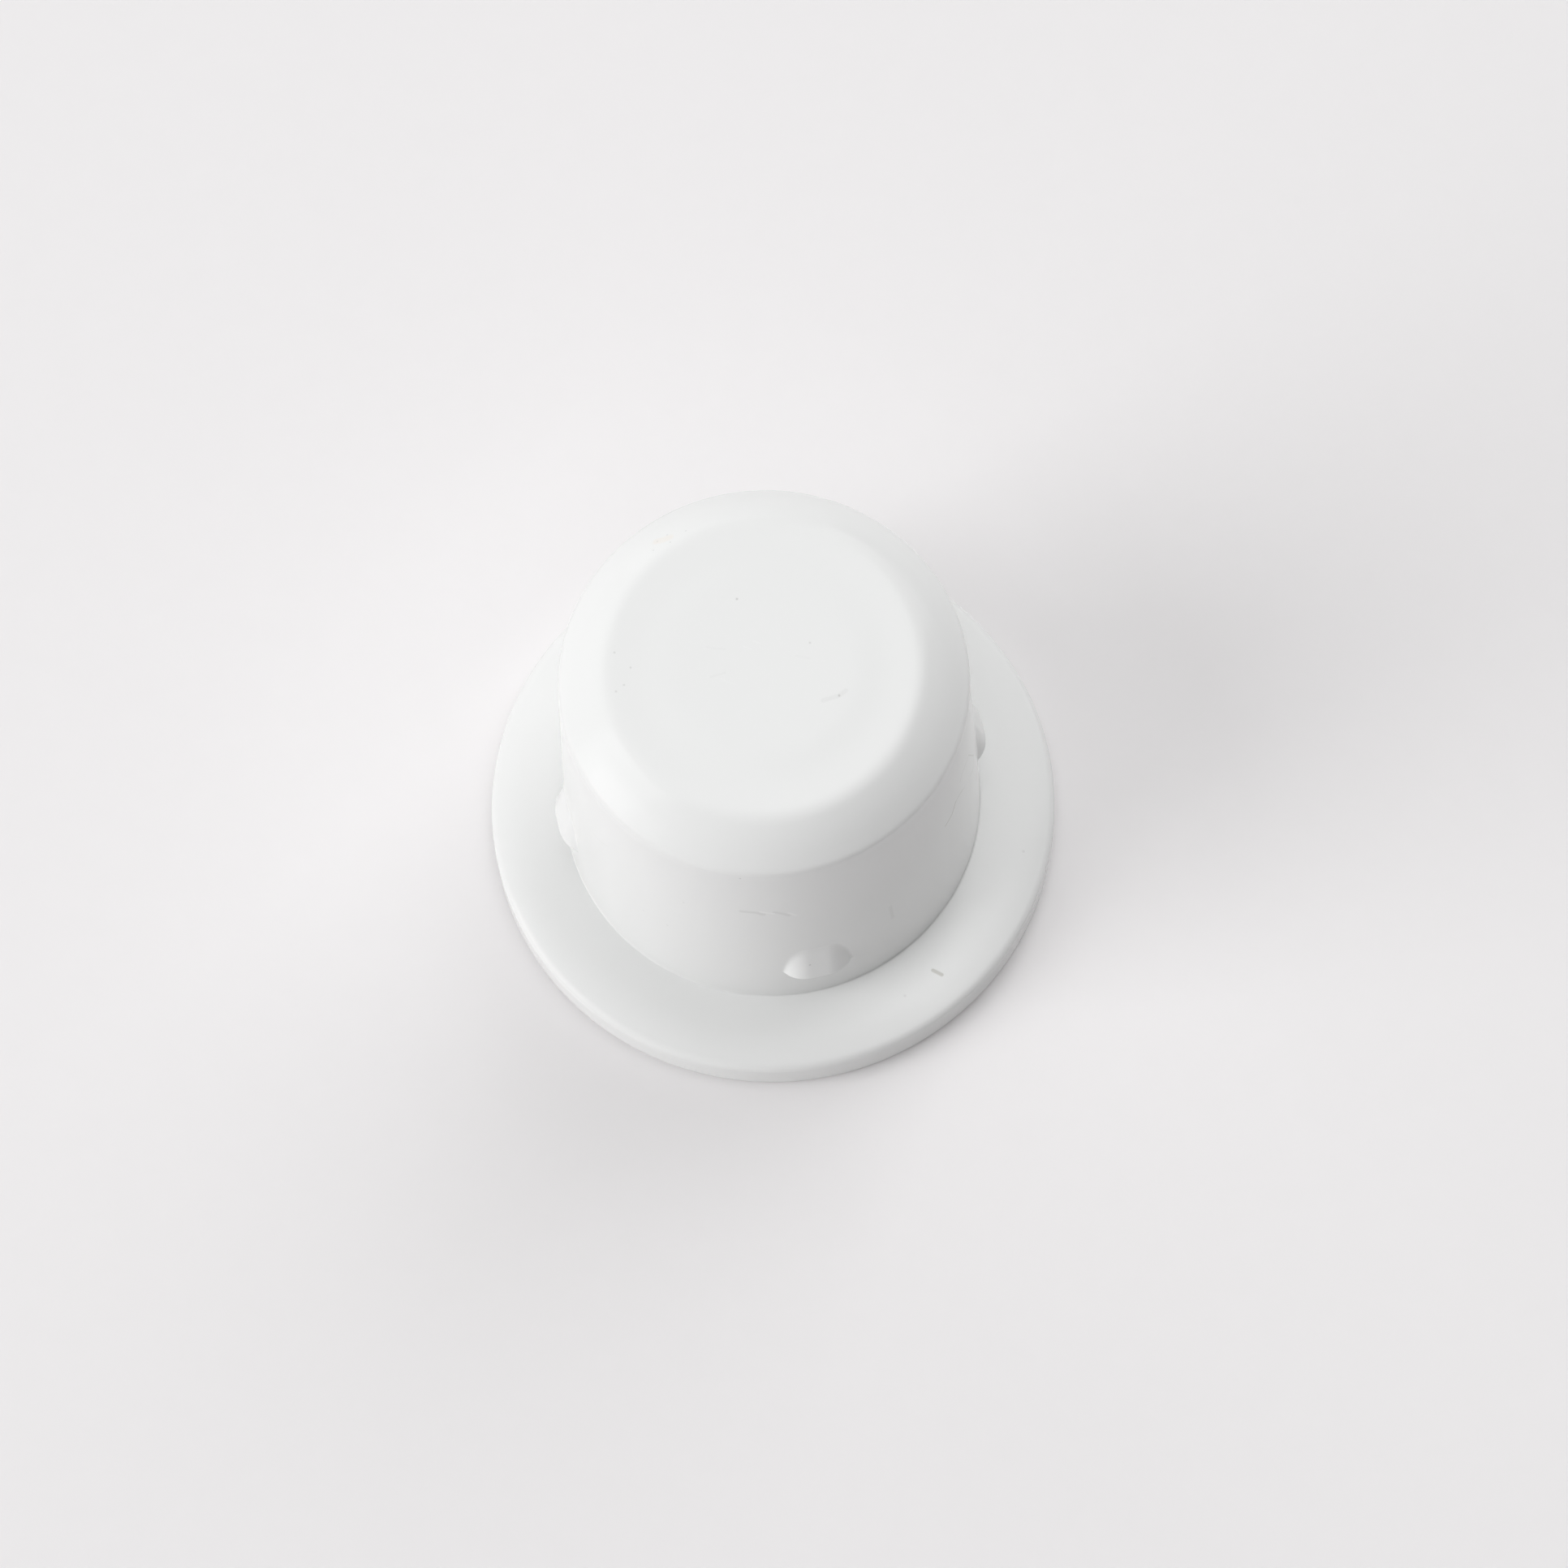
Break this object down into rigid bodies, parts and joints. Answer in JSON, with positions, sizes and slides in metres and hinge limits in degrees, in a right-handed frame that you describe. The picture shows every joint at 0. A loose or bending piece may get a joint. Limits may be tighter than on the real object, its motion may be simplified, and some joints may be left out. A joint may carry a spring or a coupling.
{
  "type": "door grommet",
  "caption": "Hat-shaped moulded door grommet: a closed plug with snap nubs on its wall and a round flange, bored from below to carry a hinge pin.",
  "frame": {"origin": "centre of the flange's flat underside", "axes": "+Z along the axis from the flange to the closed top; +X and +Y each pass through a snap nub"},
  "size_m": [0.017, 0.017, 0.0128],
  "materials": {
    "white_moulding": "glossy white moulded plastic with light handling scuffs"
  },
  "bodies": {
    "root": {"door_grommet": "white_moulding"}
  },
  "joints": []
}
